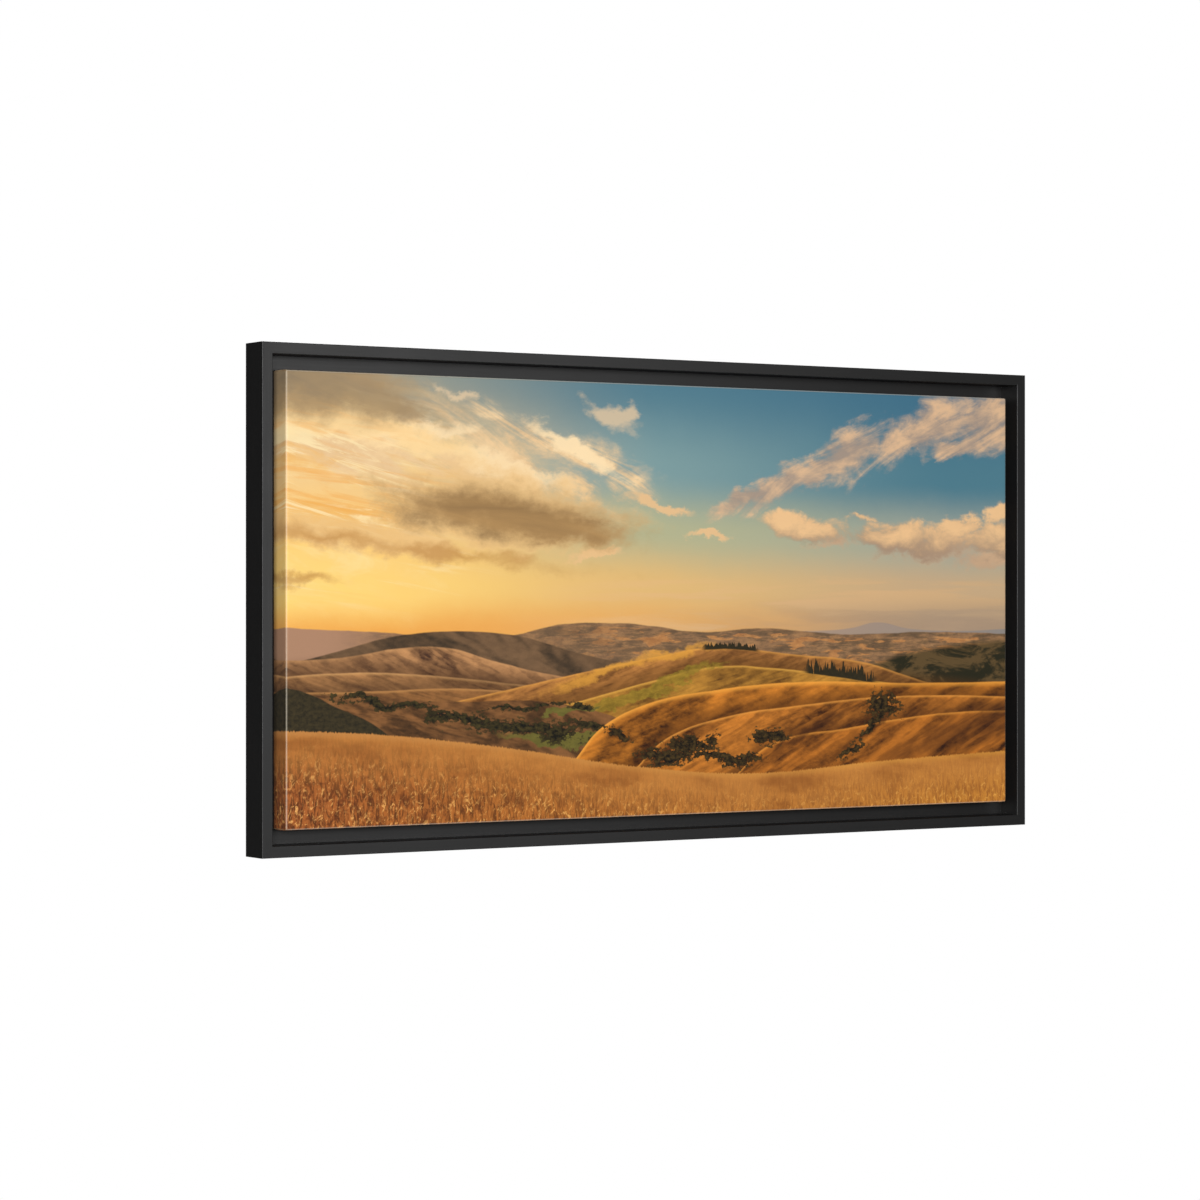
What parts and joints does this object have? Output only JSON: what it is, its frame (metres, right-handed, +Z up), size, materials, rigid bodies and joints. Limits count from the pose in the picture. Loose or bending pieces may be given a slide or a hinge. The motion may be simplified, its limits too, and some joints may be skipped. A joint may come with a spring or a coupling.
{
  "type": "framed stretched canvas",
  "caption": "Landscape print on canvas, wrapped over keyed stretcher bars and floated in a mitred black L-section wooden frame with ring hangers.",
  "frame": {"origin": "on the wall plane, midway between the two hooks and at the height where they meet the raised hanger rings", "axes": "+X to the right as seen from the front, +Y into the wall, +Z up"},
  "size_m": [1.076, 0.0455, 0.5679],
  "materials": {
    "frame_lacquer": "satin black lacquer over fine-grained wood",
    "pine": "planed, unfinished",
    "key_wood": "sawn hardwood, unfinished",
    "printed_canvas": "matte pigment print on plain-weave canvas, bare off-white weave behind",
    "bright_steel": "galvanised",
    "black_steel": "black phosphated",
    "nickel": "nickel plated",
    "bumper_rubber": "soft matte"
  },
  "bodies": {
    "framed_canvas": {"frame_rail_top": "frame_lacquer", "frame_rail_right": "frame_lacquer", "frame_rail_bottom": "frame_lacquer", "frame_rail_left": "frame_lacquer", "corner_v_nails": "bright_steel", "stretcher_bar_top": "pine", "stretcher_bar_right": "pine", "stretcher_bar_bottom": "pine", "stretcher_bar_left": "pine", "centre_brace": "pine", "canvas": "printed_canvas", "canvas_staples": "bright_steel", "frame_screws": "black_steel", "hanger_strap_left": "nickel", "hanger_strap_right": "nickel", "hanger_screws": "nickel", "wall_bumper_left": "bumper_rubber", "wall_bumper_right": "bumper_rubber"},
    "corner_key_top_bar_right": {"corner_key_top_bar_right": "key_wood"},
    "corner_key_top_bar_left": {"corner_key_top_bar_left": "key_wood"},
    "corner_key_right_bar_bottom": {"corner_key_right_bar_bottom": "key_wood"},
    "corner_key_right_bar_top": {"corner_key_right_bar_top": "key_wood"},
    "corner_key_bottom_bar_left": {"corner_key_bottom_bar_left": "key_wood"},
    "corner_key_bottom_bar_right": {"corner_key_bottom_bar_right": "key_wood"},
    "corner_key_left_bar_top": {"corner_key_left_bar_top": "key_wood"},
    "corner_key_left_bar_bottom": {"corner_key_left_bar_bottom": "key_wood"},
    "hanger_ring_left": {"hanger_ring_left": "nickel"},
    "hanger_ring_right": {"hanger_ring_right": "nickel"}
  },
  "joints": [
    {"name": "pull_top_bar_right", "type": "slide", "parent": "framed_canvas", "child": "corner_key_top_bar_right", "axis": [0, 0, -1], "range_m": [0, 0.036]},
    {"name": "pull_top_bar_left", "type": "slide", "parent": "framed_canvas", "child": "corner_key_top_bar_left", "axis": [0, 0, -1], "range_m": [0, 0.036]},
    {"name": "pull_right_bar_bottom", "type": "slide", "parent": "framed_canvas", "child": "corner_key_right_bar_bottom", "axis": [-1, 0, 0], "range_m": [0, 0.036]},
    {"name": "pull_right_bar_top", "type": "slide", "parent": "framed_canvas", "child": "corner_key_right_bar_top", "axis": [-1, 0, 0], "range_m": [0, 0.036]},
    {"name": "pull_bottom_bar_left", "type": "slide", "parent": "framed_canvas", "child": "corner_key_bottom_bar_left", "axis": [0, 0, 1], "range_m": [0, 0.036]},
    {"name": "pull_bottom_bar_right", "type": "slide", "parent": "framed_canvas", "child": "corner_key_bottom_bar_right", "axis": [0, 0, 1], "range_m": [0, 0.036]},
    {"name": "pull_left_bar_top", "type": "slide", "parent": "framed_canvas", "child": "corner_key_left_bar_top", "axis": [1, 0, 0], "range_m": [0, 0.036]},
    {"name": "pull_left_bar_bottom", "type": "slide", "parent": "framed_canvas", "child": "corner_key_left_bar_bottom", "axis": [1, 0, 0], "range_m": [0, 0.036]},
    {"name": "ring_swing_left", "type": "hinge", "parent": "framed_canvas", "child": "hanger_ring_left", "pos_m": [-0.515, -0.00265, -0.01075], "axis": [1, 0, 0], "range_deg": [0, 180]},
    {"name": "ring_swing_right", "type": "hinge", "parent": "framed_canvas", "child": "hanger_ring_right", "pos_m": [0.515, -0.00265, -0.01075], "axis": [1, 0, 0], "range_deg": [0, 180]}
  ]
}
